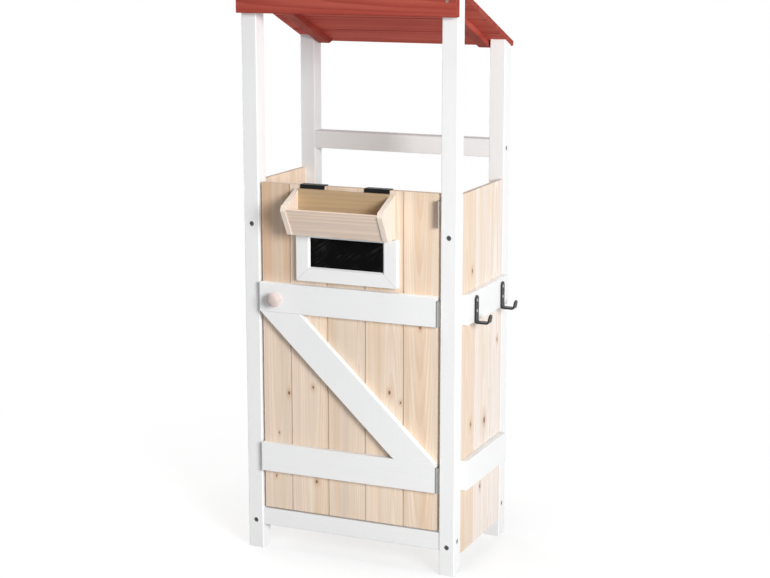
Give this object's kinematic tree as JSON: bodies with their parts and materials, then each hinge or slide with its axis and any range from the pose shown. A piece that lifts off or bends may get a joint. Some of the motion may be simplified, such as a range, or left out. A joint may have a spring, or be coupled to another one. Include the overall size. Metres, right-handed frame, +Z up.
{
  "type": "hobby horse stable",
  "caption": "Open-fronted wooden play stable for hobby horses, with a sloping roof, a braced half door with chalkboard and lift-off feed trough, boarded sides and side hooks.",
  "frame": {"origin": "on the floor, below the middle of the whole object's box", "axes": "+Z up, +X to the right as seen from the front, +Y to the rear; the door faces -Y"},
  "size_m": [0.606, 0.4299, 1.36],
  "materials": {
    "white_paint": "satin white paint on wood",
    "spruce": "bare planed softwood",
    "trough_wood": "bare planed wood, pale",
    "turned_wood": "bare turned wood",
    "red_stain": "red stain with the grain showing",
    "slate": "matt chalkboard coat",
    "black_steel": "black powder coat",
    "hinge_steel": "zinc-plated steel",
    "bolt_steel": "dark plated steel",
    "screw_steel": "zinc-plated steel",
    "catch_plastic": "white moulded plastic"
  },
  "bodies": {
    "stable": {"post_front_left": "white_paint", "post_front_right": "white_paint", "post_rear_left": "white_paint", "post_rear_right": "white_paint", "front_bottom_rail": "white_paint", "rear_bottom_rail": "white_paint", "rear_top_rail": "white_paint", "left_upper_rail": "white_paint", "left_lower_rail": "white_paint", "right_upper_rail": "white_paint", "right_lower_rail": "white_paint", "left_plank_1": "spruce", "left_plank_2": "spruce", "left_plank_3": "spruce", "right_plank_1": "spruce", "right_plank_2": "spruce", "right_plank_3": "spruce", "left_upper_batten": "spruce", "left_lower_batten": "spruce", "right_upper_batten": "spruce", "right_lower_batten": "spruce", "fascia_board": "red_stain", "roof_board_1": "red_stain", "roof_board_2": "red_stain", "roof_board_3": "red_stain", "roof_board_4": "red_stain", "roof_batten_left": "red_stain", "roof_batten_right": "red_stain", "hook_front": "black_steel", "hook_rear": "black_steel", "frame_hinge_leaves": "hinge_steel", "hinge_pins": "hinge_steel", "cross_nuts": "hinge_steel", "frame_bolts": "bolt_steel", "frame_screws": "screw_steel", "magnet_catch": "catch_plastic"},
    "door": {"door_upper_rail": "white_paint", "door_lower_rail": "white_paint", "door_brace": "white_paint", "chalk_frame_top": "white_paint", "chalk_frame_bottom": "white_paint", "chalk_frame_left": "white_paint", "chalk_frame_right": "white_paint", "door_plank_1": "spruce", "door_plank_2": "spruce", "door_plank_3": "spruce", "door_plank_4": "spruce", "door_plank_5": "spruce", "door_hinge_leaves": "hinge_steel", "door_screws": "screw_steel", "knob": "turned_wood", "slate": "slate", "strike_plate": "hinge_steel"},
    "trough": {"trough_back": "trough_wood", "trough_front": "trough_wood", "trough_bottom": "trough_wood", "trough_end_left": "trough_wood", "trough_end_right": "trough_wood", "trough_straps": "black_steel", "trough_screws": "screw_steel"}
  },
  "joints": [
    {"name": "door_hinge", "type": "hinge", "parent": "stable", "child": "door", "pos_m": [0.2075, -0.148, 0.5], "axis": [0, 0, 1], "range_deg": [0, 175]},
    {"name": "trough_lift", "type": "slide", "parent": "door", "child": "trough", "axis": [0, 0, 1], "range_m": [0, 0.045]}
  ]
}
